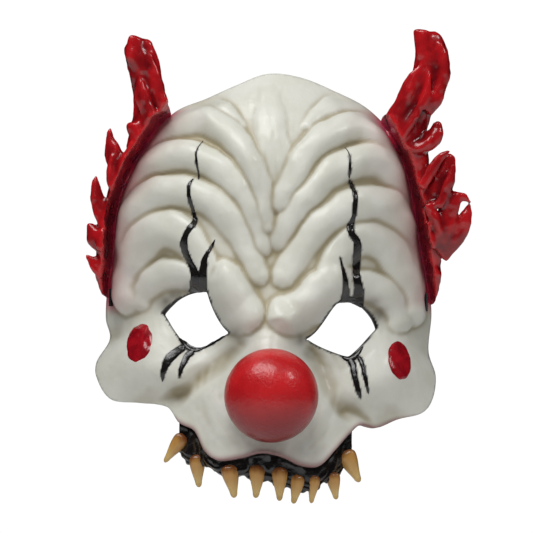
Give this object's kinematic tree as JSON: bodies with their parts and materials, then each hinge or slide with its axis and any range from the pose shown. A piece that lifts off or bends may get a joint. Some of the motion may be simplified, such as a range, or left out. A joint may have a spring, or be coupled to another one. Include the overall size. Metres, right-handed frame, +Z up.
{
  "type": "clown mask",
  "caption": "Half mask of a scowling clown with deep brow folds, a round ball nose, flame-like tufts at the temples, peg teeth under the lip and an elastic strap.",
  "frame": {"origin": "where the inside of the brow rests against the wearer's forehead, between the eyes", "axes": "+Z up as worn, -Y the way the face looks, +X to the viewer's right"},
  "size_m": [0.2153, 0.2347, 0.2653],
  "materials": {
    "skin": "satin cast latex, white with olive shading in the creases",
    "nose": "glossy red with a fine orange-peel",
    "flames": "glossy red latex, dark in its hollows",
    "gum": "wet-look black latex",
    "teeth": "ochre with brown roots, glossy",
    "strap": "ribbed black elastic"
  },
  "bodies": {
    "root": {"face_shell": "skin", "nose_ball": "nose", "hair_flames_left": "flames", "hair_flames_right": "flames", "gum": "gum", "tooth_1": "teeth", "tooth_2": "teeth", "tooth_3": "teeth", "tooth_4": "teeth", "tooth_5": "teeth", "tooth_6": "teeth", "tooth_7": "teeth", "tooth_8": "teeth", "tooth_9": "teeth", "elastic_strap": "strap"}
  },
  "joints": []
}
